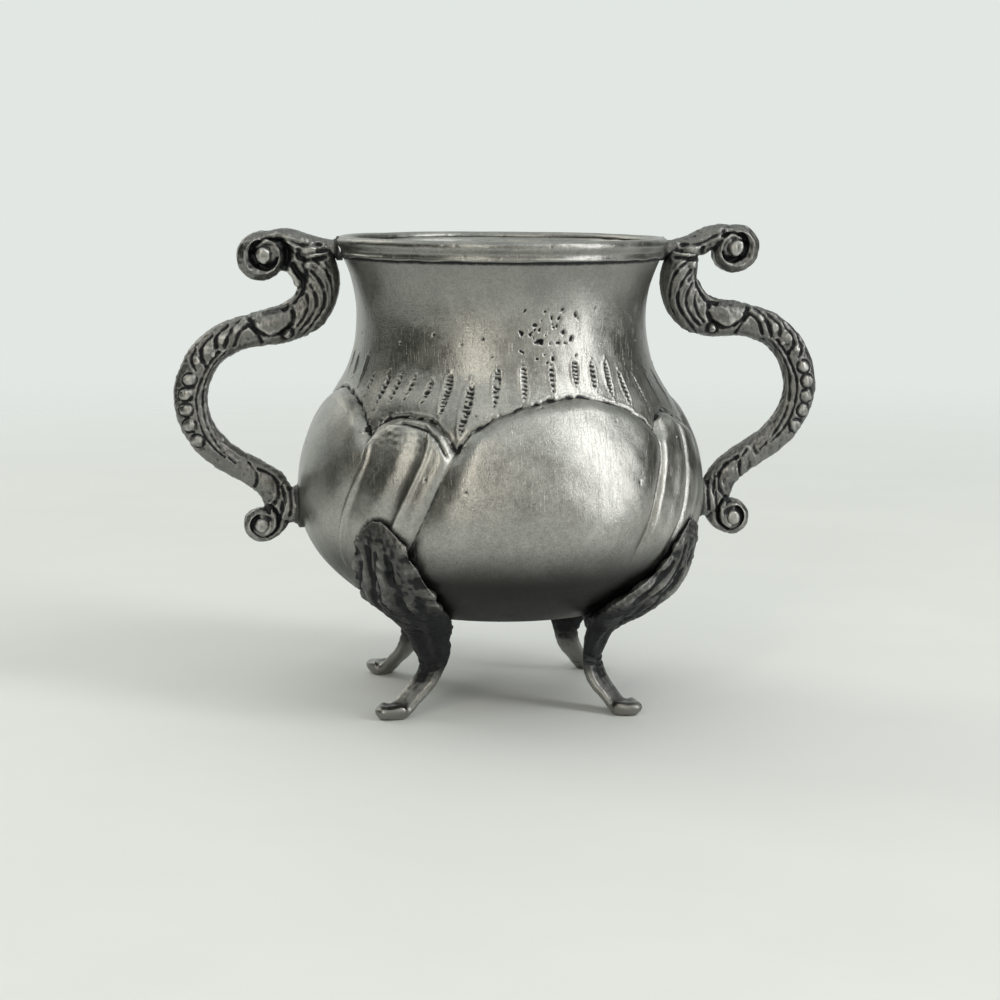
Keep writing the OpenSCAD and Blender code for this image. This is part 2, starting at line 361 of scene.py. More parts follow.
def stroke_relief(angle, z, radius, chance):
    """Spindle-shaped strokes, plain or hatched with little rungs."""
    draw = np.random.default_rng(17)
    total = np.zeros(angle.shape)
    for centre, top, foot, width, lean, hatched in STROKES:
        top_shift, foot_shift, phase = draw.uniform(-STROKE_SHIFT, STROKE_SHIFT, 3)
        bite = draw.uniform(0.26, 0.42) * (0.9 if centre < -24 else 1.05)
        pitch = RUNG_PITCH * draw.uniform(0.85, 1.3)
        for half_turn in (0, 180):
            turn = (angle - centre - half_turn + 180) % 360 - 180
            share = (top + top_shift - z) / (top - foot + top_shift - foot_shift)
            near = (share > -0.1) & (share < 1.1) & (abs(turn) < 6)
            t = np.clip(share[near], 0.001, 0.999)
            half = 0.5 * width * np.sin(math.pi * t**0.75) ** 0.6
            across = (turn[near] + lean * t) * radius[near] * math.pi / 180
            edge = half - abs(across)
            inside = soft_step(edge / 0.4 + 0.5) * soft_step(t * 12) * soft_step((1 - t) * 12)
            slope = 0.12 * inside * np.clip(across / 0.8, -1, 1)
            pan = 0.13 * hump(edge, 0.3) - 0.12 * inside - slope
            if hatched:
                torn = chance[near] * (0.25 if centre > -4 else 0.9)
                rungs = np.cos(2 * math.pi * (z[near] + 0.25 * across) / pitch + 6 * phase + torn)
                rungs = soft_step(0.35 + rungs) * soft_step(1 + 0.6 * torn)
                pan += inside * (0.08 - bite * rungs * soft_step((0.9 + across) / 0.5))
            else:
                pan -= 0.08 * inside
            total[near] += pan
            top_shift, foot_shift = -foot_shift, top_shift
    return total


def pit_relief(angle, z, radius, warp):
    """Casting pits, thickest on the front of the neck, with a few strays."""
    draw = np.random.default_rng(41)
    thick = np.stack([draw.normal(*spread, CLUSTER_PITS) for spread in CLUSTER], 1)
    strays = [draw.uniform(*limits, STRAY_PITS) for limits in ((-180, 180), (44, 104))]
    strays = np.stack(strays, 1)
    total = np.zeros(angle.shape)
    for number, (centre, height) in enumerate(np.vstack([thick, strays])):
        size = draw.uniform(0.15, 0.45) if number < len(thick) else draw.uniform(0.1, 0.22)
        near = (abs(z - height) < 2) & (abs((angle - centre + 180) % 360 - 180) < 3)
        across = ((angle[near] - centre + 180) % 360 - 180) * radius[near] * math.pi / 180
        away = np.hypot(across, (z[near] - height) * draw.uniform(0.7, 1.4))
        total[near] -= PIT_DEPTH * soft_step(1.5 - away / size * (1 + 0.22 * warp[near]))
    return total


def spaced_rows(stops):
    """Heights of the rows of points, from [height, spacing] stops, spaced along the metal."""
    z = np.linspace(BASE_Z, COLLAR_TOP, 6000)
    run = np.hypot(np.diff(z), np.diff(bowl_radius(z)))
    gap = np.interp(z[1:], [s[0] for s in stops], [s[1] for s in stops])
    count = np.concatenate([[0], np.cumsum(run / gap)])
    return np.interp(np.arange(int(count[-1]) + 1) * count[-1] / int(count[-1]), count, z)


def profile_normals(z):
    step = 0.05
    slope = (bowl_radius(z + step) - bowl_radius(z - step)) / (2 * step)
    slope = np.where(z > BAND_Z - 1, 0, slope)
    length = np.sqrt(1 + slope**2)
    return 1 / length, -slope / length, length


def body_points(rows, columns, inside):
    """Points of the outer or inner wall, row by row from the base to the rim."""
    angle = np.tile(np.arange(columns) * 360 / columns - 180, len(rows))
    z = np.repeat(rows, columns)
    radius = bowl_radius(z)
    out, up, stretch = profile_normals(z)
    turn = np.radians(angle)
    flat = np.stack([np.sin(turn) * radius, -np.cos(turn) * radius, z], 1)
    lobes, to_arch, to_side, below, strength = body_lobes(angle, z, radius, stretch)
    cuts = np.zeros(z.shape)
    if not inside:
        cuts = chased_lines(angle, z, to_arch, to_side, below, strength, flat)
        cuts += stroke_relief(angle, z, radius, ripple(flat, 2.2, 31))
        cuts += pit_relief(angle, z, radius, ripple(flat, 0.9, 8))
        # A groove just under the rim band, filled black: a painted shadow line under the band's
        # edge.
        cuts -= 0.5 * hump(z - BAND_Z + 0.35 + 0.12 * ripple(flat, 14, 16), 0.5)
        lobes = lobes + 0.06 * ripple(flat, 24, 9) + 0.025 * ripple(flat, 7, 10)
    height = (lobes + cuts) * soft_step((z - BASE_Z - 1) / 6) * soft_step((BAND_Z - 1 - z) / 4)
    if inside:
        height -= WALL
    radius = radius + height * out
    z = z + height * up
    return np.stack([np.sin(turn) * radius, -np.cos(turn) * radius, z], 1), cuts


def ring(count, start):
    index = start + np.arange(count)
    return index, np.roll(index, -1)


def wall_faces(rows, columns, start, flip):
    """Quads between the rows of a wall that closes on itself."""
    faces = []
    for row in range(rows - 1):
        a, b = ring(columns, start + row * columns)
        c, d = ring(columns, start + (row + 1) * columns)
        faces.append(np.stack([a, c, d, b] if flip else [a, b, d, c], 1))
    return np.vstack(faces)


def grime_and_shade_near(points, castings):
    """How much soldering dirt and painted shade each place holds: most where a casting touches the
    bowl.
    """
    tree_points = [p for mesh in castings for p in vertex_array(mesh)[::3]]
    tree = KDTree(len(tree_points))
    for number, point in enumerate(tree_points):
        tree.insert(point, number)
    tree.balance()
    grime_and_shade = np.zeros(len(points))
    for number in np.nonzero(points[:, 2] < GRIME_AND_SHADE_TOP)[0]:
        grime_and_shade[number] = 1 - tree.find(points[number])[2] / GRIME_AND_SHADE_REACH
    return 0.8 * soft_step(grime_and_shade)


# Spacing of the rows of points at each height, finest where the chasing is
OUTER_SPACING = [
    (BASE_Z, 0.9), (44, 0.6), (66, 0.5), (70, 0.27), (92, 0.27), (96, 0.36), (104, 0.5), (108, 0.8),
    (COLLAR_TOP, 1),
]
INNER_SPACING = [(BASE_Z, 1.6), (60, 1.3), (84, 1.2), (COLLAR_TOP, 2)]
BODY_COLUMNS = 840
COLUMN_SHARE = 3


def build_body(castings):
    """The bowl as one closed shell: chased outside, smoother inside, a hole for the base disc."""
    outer_rows = spaced_rows(OUTER_SPACING)
    inner_rows = spaced_rows(INNER_SPACING)
    inner_rows = inner_rows[inner_rows > BASE_Z + WALL + 0.8]
    columns, share = BODY_COLUMNS, COLUMN_SHARE
    inner_columns = columns // share
    outer, cuts = body_points(outer_rows, columns, False)
    inner = body_points(inner_rows, inner_columns, True)[0]
    turn = np.radians(np.arange(inner_columns) * 360 / inner_columns - 180)
    hole = [
        np.stack([np.sin(turn) * HOLE_R, -np.cos(turn) * HOLE_R, np.full(inner_columns, z)], 1)
        for z in (BASE_Z, BASE_Z + WALL)
    ]
    points = np.vstack([outer, inner] + hole)
    inner_start = len(outer)
    hole_start = inner_start + len(inner)
    faces = wall_faces(len(outer_rows), columns, 0, False).tolist()
    faces += wall_faces(len(inner_rows), inner_columns, inner_start, True).tolist()
    faces += wall_faces(2, inner_columns, hole_start, True).tolist()
    low, low_next = ring(inner_columns, inner_start)
    step, step_next = ring(inner_columns, hole_start + inner_columns)
    faces += np.stack([step, low, low_next, step_next], 1).tolist()
    top, top_next = ring(inner_columns, inner_start + (len(inner_rows) - 1) * inner_columns)
    base, base_next = ring(inner_columns, hole_start)
    rim = (len(outer_rows) - 1) * columns
    for j in range(inner_columns):
        fine = [(share * j + k) % columns for k in range(share + 1)]
        faces.append([int(base[j]), int(base_next[j])] + fine[::-1])
        faces.append([rim + k for k in fine] + [int(top_next[j]), int(top[j])])
    mesh = bpy.data.meshes.new("bowl_shell")
    mesh.from_pydata((points * MM).tolist(), [], faces)
    mesh.update()
    cuts = np.concatenate([cuts, np.zeros(len(points) - len(cuts))])
    # Tarnish in the hollows, soldering grime with painted shade round the castings, and black in
    # the cuts
    age(mesh, (5, 60), (0.15, 0.7), (-0.3, -0.95), grime_and_shade_near(points, castings), cuts)
    return make_object("bowl_shell", mesh, ["bowl_body"])


# ---------------------------------------------------------------- rim


RIM_COLUMNS = 720
# The band's outline under the bead: [past the collar's radius, above the band's foot]
RIM_BAND = [(-0.1, -0.1), (0.45, -0.05), (0.62, 0.35), (0.42, 0.9), (0.45, 1.6), (0.85, 2.2)]


def build_rim():
    """The rolled rim: a tapering band with a thin lower edge under a rounded bead."""
    bead_r = RIM_TOP - COLLAR_TOP
    middle = RIM_R - bead_r
    band = [(COLLAR_R + past, BAND_Z + above) for past, above in RIM_BAND]
    bead = [
        (middle + bead_r * math.cos(a), COLLAR_TOP + bead_r * math.sin(a))
        for a in np.radians(np.arange(-30, 190, 10))
    ]
    outline = np.vstack([smooth_line(band, 4), bead, [(COLLAR_R - 0.1, COLLAR_TOP - 0.3)]])
    columns = RIM_COLUMNS
    radius = np.repeat(outline[:, 0], columns)
    z = np.repeat(outline[:, 1], columns)
    turn = np.tile(np.radians(np.arange(columns) * 360 / columns), len(outline))
    place = np.stack([np.sin(turn) * RIM_R, -np.cos(turn) * RIM_R, z], 1)
    uneven = 0.09 * ripple(place, 30, 21) + 0.05 * ripple(place, 7, 22)
    nicks = -0.16 * soft_step((ripple(place, 2.4, 23) - 1.5) / 0.8)
    lower = soft_step((BAND_Z + 1 - z) / 1.2)
    radius = radius + (uneven + nicks) * 0.7
    z = z + uneven * 0.3 + 0.12 * lower * ripple(place, 9, 24)
    points = np.stack([np.sin(turn) * radius, -np.cos(turn) * radius, z], 1)
    faces = wall_faces(len(outline), columns, 0, False).tolist()
    last, last_next = ring(columns, (len(outline) - 1) * columns)
    first, first_next = ring(columns, 0)
    faces += np.stack([last, last_next, first_next, first], 1).tolist()
    mesh = bpy.data.meshes.new("rim_roll")
    mesh.from_pydata((points * MM).tolist(), [], faces)
    mesh.update()
    # The extra dark along the band's lower edge is painted shade under the band.
    age(mesh, (3, 30), (0.0, 0.5), (-0.4, -1.2), 0.3 * lower)
    return make_object("rim_roll", mesh, ["rim_band"])


# ---------------------------------------------------------------- castings


def add_plate(mesh, outline, half_thickness, side):
    """Adds a flat plate in the handle's plane to a mesh, for the remesh to melt in."""
    work = bmesh.new()
    work.from_mesh(mesh)
    walls = [
        [work.verts.new(Vector((side * x, y, z)) * MM) for x, z in outline]
        for y in (-half_thickness, half_thickness)
    ]
    work.faces.new(walls[0])
    work.faces.new(walls[1][::-1])
    for k in range(len(outline)):
        j = (k + 1) % len(outline)
        work.faces.new([walls[0][j], walls[0][k], walls[1][k], walls[1][j]])
    bmesh.ops.recalc_face_normals(work, faces=work.faces)
    work.to_mesh(mesh)
    work.free()


VOXEL = 0.23
# Push and pull of each smoothing round, nearly equal so that nothing shrinks
SMOOTH_IN = 0.6
SMOOTH_OUT = 0.61


def fine_copy(node, rounds, plate=None, side=1):
    """An even, dense and softened copy of a CAD node's mesh, to carve."""
    source = frame["nodes"][node]
    carrier = bpy.data.objects.new("carrier", source.data.copy())
    bpy.context.scene.collection.objects.link(carrier)
    if plate:
        add_plate(carrier.data, plate, SHADE_WEB_HALF, side)
    modifier = carrier.modifiers.new("even", "REMESH")
    modifier.mode = "VOXEL"
    modifier.voxel_size = VOXEL * MM
    modifier.use_smooth_shade = True
    scene_state = bpy.context.evaluated_depsgraph_get()
    mesh = bpy.data.meshes.new_from_object(carrier.evaluated_get(scene_state))
    bpy.data.objects.remove(carrier)
    mesh.name = node
    mesh.materials.clear()
    edges = edge_array(mesh)
    points = vertex_array(mesh)
    for _ in range(rounds):
        points = points + SMOOTH_IN * (averaged(points, edges, 1) - points)
        points = points - SMOOTH_OUT * (averaged(points, edges, 1) - points)
    move_vertices(mesh, points)
    return mesh


# Places on a handle, in its own plane: [distance from the axis, height]
# The web, a dark sheet of painted shade, fills the gap between the left handle's volute and its
# knee, where there are only shaded inner walls.
SHADE_WEB = [
    (58, 118.6), (52, 117), (50, 111), (50.4, 105.5), (52.3, 106.2), (52.9, 108.2), (54.2, 109.7),
    (56, 110.2), (58.5, 109.4), (60, 113),
]
SHADE_WEB_HALF = 2.2
# The hollow along the web, filled black, deepens its painted shade.
SHADE_WEB_HOLLOW = [(54.9, 110.9), (54, 113.4), (54.5, 116), (56.4, 117.9)]
VOLUTE = (59.6, 114.5)
CURL = (61.1, 45.6)
BUTTON_R = 2.0
# Grooves: (width, depth, line)
HANDLE_GROOVES = [
    (0.55, 0.45, [(57, 119), (54, 117.7), (50.6, 116.4), (46, 116.3)]),
    (0.6, 0.55, [(51.6, 115.2), (51.3, 113.2), (48.4, 112.7), (44.5, 113.1)]),
    (0.8, 1.0, [
        (52.9, 111.6), (52, 109.8), (50.6, 107.5), (50.8, 105), (52.9, 102.3), (55.4, 100.8),
    ]),
    (0.45, 0.42, [(47.9, 112.5), (44.8, 110), (43, 106), (43.2, 101.2), (45.3, 97.2), (48.6, 94)]),
    (0.45, 0.42, [(48.3, 109.7), (46, 106.8), (44.9, 103), (45.8, 99.7), (48, 96.4), (50.6, 93.4)]),
    (0.45, 0.4, [(48.8, 106.4), (47.3, 103.5), (47.3, 100.8), (48.7, 98), (51, 95.3)]),
    (0.4, 0.38, [(49.8, 104.2), (49.4, 101.4), (50.3, 98.6), (51.8, 96.4)]),
    (0.6, 0.7, [
        (64.2, 99.4), (62.6, 96.4), (60.1, 94.6), (57.4, 94.3), (54.5, 95.8), (52.9, 98.5),
        (53.4, 101),
    ]),
    (0.5, 0.5, [(63.9, 97.2), (61.9, 94.8), (60.7, 92.6)]),
    (0.5, 0.5, [(64.3, 97.4), (66.6, 95), (67.6, 92)]),
    (0.55, 0.6, [(64.9, 99.6), (67.5, 97.2), (69.2, 94.6), (70, 91.4)]),
    (0.55, 0.55, [(69.4, 97), (71.5, 95.2), (72.4, 93), (71.8, 90.6)]),
    (0.55, 0.6, [(73.4, 94.6), (75.4, 92.4), (76, 89.4), (74.6, 87)]),
    (0.5, 0.5, [(77.6, 91), (78.6, 88.6), (77.4, 86)]),
    (0.4, 0.22, [
        (69.5, 90.7), (72.5, 87.6), (74.5, 83.8), (75.4, 80), (75.3, 75), (73.6, 69.9),
        (70.8, 65.4), (67.8, 62.4),
    ]),
    (0.4, 0.36, [
        (71.4, 90.6), (74, 87), (76, 83), (77.1, 79.5), (77, 75.5), (75.7, 70.5), (73.4, 66.8),
        (70.4, 64),
    ]),
    (0.45, 0.4, [(64.3, 62.4), (62.6, 60), (62.4, 57.4), (63.2, 55.2)]),
    (0.5, 0.5, [(62, 60.6), (58.9, 59.2), (56.9, 56.6), (57, 53.4), (58.9, 50.8)]),
    (0.5, 0.5, [(55.9, 56), (55.6, 52.4), (56.6, 48.3)]),
    (0.45, 0.4, [(54, 54.6), (53.8, 51.4), (54.2, 48)]),
]
HANDLE_BEADS = [(78.9, 83.6), (80.0, 79.9), (79.9, 76), (79.1, 72.1), (77.2, 68.2)]
BEAD_R = 1.8
# Raised spots: (distance from the axis, height, radius, rise)
HANDLE_BUMPS = [
    (48.6, 114.7, 1.9, 0.5), (49.2, 111.2, 1.0, 0.55), (58.6, 97.8, 3.6, 0.55),
    (54.4, 94.4, 0.9, 0.5), (45.8, 110.5, 1.4, 0.3), (67.2, 96.2, 1.2, 0.35),
    (70.8, 93.6, 1.3, 0.4), (74.2, 91, 1.3, 0.4), (73, 89.6, 0.6, 0.4), (71.8, 91, 0.6, 0.35),
    (77, 88.4, 1.1, 0.4), (60.2, 56.6, 2.2, 0.35),
]
# A ringed boss under the knee: (distance from the axis, height, radius)
SMALL_CURL = (54.4, 94.4, 1.5)
CARVING = 1.35
# How much lower the left handle's top sits, how much higher and darker the right handle's is
LEFT_DROP = 0.9
RIGHT_LIFT = 1.5
RIGHT_TARNISH = 0.2


def spiral(centre, start, end, outer, inner, power):
    """A spiral in the handle's plane, from its outer end to its inner one."""
    t = np.linspace(0, 1, 60)
    angle = np.radians(start + (end - start) * t)
    r = inner + (outer - inner) * (1 - t) ** power
    return np.stack([centre[0] + r * np.cos(angle), centre[1] + r * np.sin(angle)], 1)


def carve_handle(u, z, lean, broken, shade_webbed):
    """Depth and height of the handle's ornament at each place in its plane."""
    depth = np.zeros(u.shape)
    if shade_webbed:
        # The web's black hollow: painted shade.
        depth -= 0.8 * hump(line_distance(u, z, smooth_line(SHADE_WEB_HOLLOW)), 1.0)
    for width, deep, points in HANDLE_GROOVES:
        away = line_distance(u, z, smooth_line(points, 5))
        cut = (0.45 + 0.55 * broken) * hump(away, width * (0.6 + 0.35 * broken))
        depth -= deep * cut - 0.1 * hump(away - 1.4 * width, 0.5 * width + 0.1)
    volute = spiral(VOLUTE, 207 if shade_webbed else 130, -155, 5.7 if shade_webbed else 4.2, 3.0, 2.2)
    depth -= 1.2 * hump(line_distance(u, z, volute), 0.5)
    curl = spiral(CURL, 112, 420, 5.2, 2.6, 2.0)
    depth -= 1.2 * hump(line_distance(u, z, curl), 0.55)
    for centre in (VOLUTE, CURL):
        away = np.hypot(u - centre[0], z - centre[1]) / (BUTTON_R + 0.5)
        depth += 0.5 * np.sqrt(np.clip(1 - away**2, 0, 1))
    for x, height in HANDLE_BEADS:
        away = np.hypot(u - x, (z - height) * (1.0 + 0.12 * broken))
        dome = np.sqrt(np.clip(1 - (away / BEAD_R) ** 2, 0, 1))
        depth += 0.5 * dome - 0.35 * broken * hump(away - BEAD_R, 0.3)
    for x, height, radius, rise in HANDLE_BUMPS:
        depth += rise * soft_step(1.4 - np.hypot(u - x, z - height) / radius)
    ring_gap = abs(np.hypot(u - SMALL_CURL[0], z - SMALL_CURL[1]) - SMALL_CURL[2])
    depth -= 0.5 * hump(ring_gap, 0.4)
    return depth * (0.4 + 0.6 * lean)


def build_handle(node, side, seed):
    """A cast handle: the CAD scroll, carved on both faces. side is -1 on the left."""
    # Only the left handle takes the web of painted shade.
    shade_webbed = side < 0
    mesh = fine_copy(node, 8, SHADE_WEB if shade_webbed else None, side)
    points, normals = vertex_array(mesh), normal_array(mesh)
    u = points[:, 0] * side
    lean = abs(normals[:, 1])
    reach = soft_step((u - COLLAR_R - 1.5) / 2)
    broken = soft_step(0.6 + 0.5 * ripple(points, 3.5, seed + 2))
    depth = CARVING * carve_handle(u, points[:, 2], lean, broken, shade_webbed) * reach
    uneven = 0.06 * ripple(points, 4, seed) + 0.04 * ripple(points, 1.5, seed + 1)
    points = points + normals * (depth + uneven * reach)[:, None]
    shift = RIGHT_LIFT if side > 0 else -LEFT_DROP
    free = soft_step((u - 44) / 22) * soft_step((points[:, 2] - 40) / 30)
    points[:, 2] += shift * free
    move_vertices(mesh, points)
    tarnish = 0.0 if shade_webbed else RIGHT_TARNISH
    age(mesh, (4, 50), (-0.07, 0.13), (-0.14, -0.4), tarnish, depth + 0.36)
    return make_object(f"{node}_cast", mesh, [node])


# How each foot was bent before soldering: [twist in degrees, lift of the leaf's top,
# leg's width, swell of the leaf, sway of the leg, swing of the toe]
FOOT_BENDS = {
    "front_left_foot": (5, 3.2, 1.4, 0.4, 1.8, -3.4),
    "back_right_foot": (5, 3.2, 1.4, 0.4, 0.0, 0.0),
    "front_right_foot": (10, 1.0, 0.9, 2.6, 0.0, 0.0),
    "back_left_foot": (10, 1.0, 0.9, 2.6, 0.0, 0.0),
}
FOOT_SEED = 71
LEAF_SPREAD = 0.6
# The toe is drawn in to this share of its CAD length past TOE_START, narrowed, and its end
# melted by rounds of averaging.
TOE_START = 34.0
TOE_SHARE = 0.72
TOE_SPREAD = -0.15
TOE_MELT = 40


def toe_round(side, z, out):
    """How far the corners of the toe's end are drawn back."""
    return 0.11 * side**2 * soft_step((12 - z) / 4) * soft_step((out - 36) / 5)


def bend_foot(node, out, side, z):
    """Spreads the leaf round the body, twists it, and shortens the toe."""
    twist, lift, leg, _, sway, swing = FOOT_BENDS[node]
    toe = soft_step((14 - z) / 4) * np.maximum(out - TOE_START, 0)
    out = out - toe * (1 - TOE_SHARE)
    side = side * (1 + (leg - 1) * soft_step((z - 11) / 6) * soft_step((26 - z) / 5))
    side = side * (1 + TOE_SPREAD * soft_step((out - 30) / 5) * soft_step((12 - z) / 4))
    out = out - toe_round(side, z, out)
    side = side + sway * soft_step((z - 6) / 8) * soft_step((32 - z) / 10)
    side = side + swing * soft_step((14 - z) / 8) * soft_step((out - 28) / 14)
    radius, turn = np.hypot(out, side), np.arctan2(side, out)
    turn = turn * (1 + LEAF_SPREAD * soft_step((z - 20) / 6) * soft_step((42 - z) / 14))
    turn = turn + math.radians(twist) * soft_step((z - 22) / 18)
    higher = z + lift * soft_step((z - 34) / 10)
    higher = higher - 0.42 * z * soft_step((out - 37) / 4) * (z < 15)
    on_leaf = soft_step((z - 33) / 2)
    change = bowl_radius(np.maximum(higher, 26)) - bowl_radius(np.maximum(z, 26))
    radius = radius + on_leaf * change
    return radius * np.cos(turn), radius * np.sin(turn), higher


# Carving on a foot's leaf and leg, seen from outside: (width, depth, [sideways, height] line)
FOOT_GROOVES = [
    (0.9, 1.2, [(-3.4, 42), (-4, 38.5), (-3.2, 35), (-3.7, 31), (-2.4, 27)]),
    (0.7, 1.0, [(-1.5, 37.5), (-1, 34.5), (-1.8, 31), (-0.8, 27)]),
    (0.8, 1.1, [(2.3, 37), (3, 34), (2, 30.5), (2.6, 27)]),
    (1.0, 1.1, [(0, 41), (1.4, 40), (2.5, 38.4)]),
    (0.8, 1.0, [(-0.6, 39.4), (0.8, 38.2), (1.6, 36.8)]),
    (0.7, 0.8, [(-6, 39), (-6.6, 35.5), (-5.6, 31.5)]),
    (0.7, 0.8, [(5.6, 35.5), (5.6, 32), (4.2, 28.5)]),
    (0.6, 0.5, [(-4.6, 26.4), (-1.5, 24.6), (1.5, 24.6), (4.6, 26.4)]),
    (0.5, 0.45, [(-4.2, 14.4), (-1.4, 13.4), (1.4, 13.4), (4.2, 14.4)]),
    (0.4, 0.35, [(-4, 12.6), (0, 11.8), (4, 12.6)]),
]
# Claws on the toe: [sideways, distance from the bowl's axis]
TOE_BUMPS = [(-2.1, 44.2), (0, 45.2), (2.1, 44.2)]


def carve_foot(out, side, z, facing_out, facing_up, broken, swell):
    """Depth and height of a foot's ornament. out is the distance from the bowl's axis."""
    face = soft_step(facing_out * 1.5 + 0.6)
    depth = np.zeros(z.shape)
    for width, deep, points in FOOT_GROOVES:
        away = line_distance(side, z, smooth_line(points, 5))
        depth -= deep * (0.35 + 0.8 * broken) * hump(away, width * (0.6 + 0.6 * broken))
    depth *= 1 - 0.8 * soft_step((z - 41) / 2.5)
    depth += 0.5 * hump(side, 1.7) * soft_step((z - 26) / 6) * soft_step((46 - z) / 5)
    depth += 0.5 * hump(facing_out - 0.45, 0.25) * soft_step((z - 29) / 4)
    depth += swell * hump(z - 31, 8) * soft_step(1.4 - abs(side) / 7)
    leg = soft_step((24 - z) / 3) * soft_step((z - 14.5) / 2)
    depth += leg * (0.3 * hump(abs(side) - 3.2, 0.8) - 0.6 * hump(side, 1.5))
    depth = depth * face
    toe = soft_step((13 - z) / 4) * soft_step(facing_up * 2)
    hollow = hump(side, 1.8) * soft_step((out - 29) / 4) * soft_step((42 - out) / 4)
    depth += toe * (0.25 * hump(abs(side) - 3.2, 0.9) - 0.15 * hollow)
    depth += 1.7 * toe * hump(out - 42.3, 2.8)
    tip = soft_step((10 - z) / 3) * soft_step((out - 40) / 3) * soft_step(1 - facing_up)
    depth += tip * (0.7 * hump(side, 3) - 0.3 * hump(side, 0.5) * (facing_up > -0.3))
    for across, reach in TOE_BUMPS:
        depth += 0.35 * toe * soft_step(1.6 - np.hypot(side - across, out - reach) / 1.3)
    return depth


def build_foot(node, seed):
    """A cast foot: the CAD foot, carved outside, then bent to fit the body."""
    mesh = fine_copy(node, 6)
    points, normals = vertex_array(mesh), normal_array(mesh)
    low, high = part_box(node)
    heading = Vector((low.x + high.x, low.y + high.y)).normalized()
    away = np.array([heading.x, heading.y])
    across = np.array([-heading.y, heading.x])
    out, side, z = points[:, :2] @ away, points[:, :2] @ across, points[:, 2]
    facing_out, facing_up = normals[:, :2] @ away, normals[:, 2]
    drawn_out = np.stack([out * 0.4, side, z * 0.4], 1)
    broken = soft_step(0.45 + 0.6 * ripple(drawn_out, 3.6, seed + 3))
    swell = FOOT_BENDS[node][3]
    depth = carve_foot(out, side, z, facing_out, facing_up, broken, swell)
    cast = 0.2 + 0.8 * soft_step((z - 14) / 6)
    depth += cast * (0.12 * ripple(drawn_out, 4.4, seed) + 0.05 * ripple(points, 1.5, seed + 1))
    scallop = np.cos(2 * math.pi * z / 4.3 + 0.3 * ripple(points, 9, seed + 2))
    edge = soft_step((abs(side) - 4.5) / 2.5) * soft_step((z - 29) / 3)
    depth += 0.4 * edge * scallop
    above = soft_step(z / 1.5)
    points = points + normals * (depth * above)[:, None]
    out, side, z = points[:, :2] @ away, points[:, :2] @ across, points[:, 2]
    out, side, z = bend_foot(node, out, side, z)
    points = np.column_stack([out[:, None] * away + side[:, None] * across, z])
    melted = averaged(points, edge_array(mesh), TOE_MELT) - points
    points += melted * (soft_step((out - 34) / 3) * soft_step((12 - z) / 3) * soft_step(z))[:, None]
    move_vertices(mesh, points)
    dirt = 0.36 + 0.45 * soft_step((z - 8) / 8) * soft_step((32 - z) / 6)
    dirt = dirt - 0.36 * soft_step((11 - z) / 4)
    age(mesh, (4, 50), (-0.08, 0.12), (-0.14, -0.4), dirt, depth + 0.3)
    return make_object(f"{node}_cast", mesh, [node])


# ---------------------------------------------------------------- materials


class Nodes:
    """Short names for adding and joining shader nodes."""

    def __init__(self, name):
        self.material = bpy.data.materials.new(name)
        self.material.use_nodes = True
        self.tree = self.material.node_tree
        self.tree.nodes.clear()

    def add(self, kind, **settings):
        node = self.tree.nodes.new(kind)
        for key, value in settings.items():
            setattr(node, key, value)
        return node

    def join(self, source, target):
        self.tree.links.new(source, target)

    def put(self, socket, value):
        """Links an output to the socket, or sets a plain value on it."""
        if isinstance(value, bpy.types.NodeSocket):
            self.join(value, socket)
        else:
            socket.default_value = value

    def math(self, operation, a, b=0.0, clamp=False):
        node = self.add("ShaderNodeMath", operation=operation, use_clamp=clamp)
        self.put(node.inputs[0], a)
        self.put(node.inputs[1], b)
        return node.outputs[0]

    def scale(self, value, low, high, out_low=0.0, out_high=1.0):
        node = self.add("ShaderNodeMapRange", interpolation_type="SMOOTHSTEP")
        for socket, given in zip(node.inputs, (value, low, high, out_low, out_high)):
            self.put(socket, given)
        return node.outputs[0]

    def blend(self, share, a, b):
        node = self.add("ShaderNodeMix", data_type="RGBA")
        self.put(node.inputs[0], share)
        self.put(node.inputs[6], a)
        self.put(node.inputs[7], b)
        return node.outputs[2]

    def place(self, stretch=(1, 1, 1), turn=(0, 0, 0)):
        where = self.add("ShaderNodeTexCoord").outputs["Object"]
        mapping = self.add("ShaderNodeMapping")
        self.join(where, mapping.inputs["Vector"])
        mapping.inputs["Scale"].default_value = stretch
        mapping.inputs["Rotation"].default_value = turn
        return mapping.outputs[0]

    def noise(self, size, detail=4.0, rough=0.55, stretch=(1, 1, 1), turn=(0, 0, 0)):
        """Noise whose features are about size millimetres across."""
        node = self.add("ShaderNodeTexNoise")
        self.join(self.place(stretch, turn), node.inputs["Vector"])
        node.inputs["Scale"].default_value = 1 / (size * MM)
        node.inputs["Detail"].default_value = detail
        node.inputs["Roughness"].default_value = rough
        return node.outputs[0]

    def attribute(self, name):
        return self.add("ShaderNodeAttribute", attribute_name=name).outputs["Fac"]

    def height(self):
        split = self.add("ShaderNodeSeparateXYZ")
        self.join(self.add("ShaderNodeTexCoord").outputs["Object"], split.inputs[0])
        return split.outputs[2]


def record_colour(slot):
    return next(m["base_color"] for m in frame["record"]["materials"] if m["slot"] == slot)


def shade(rgb, factor):
    return tuple(channel * factor for channel in rgb) + (1.0,)


# Near-black of the tarnish in the hollows and of the painted shade.
INK = (0.018, 0.019, 0.021, 1)
# Heights in metres: where a painted dark reflection darkens the lower belly, where another darkens
# the upper neck, where brushing begins, and where the feet are rubbed bright
PAINTED_REFLECTION_UNDER_BELLY = (0.05, 0.036)
PAINTED_REFLECTION_UPPER_NECK = (0.094, 0.112)
BRUSHED_FROM = (0.080, 0.090)
BRIGHT_TOES = (0.016, 0.006)


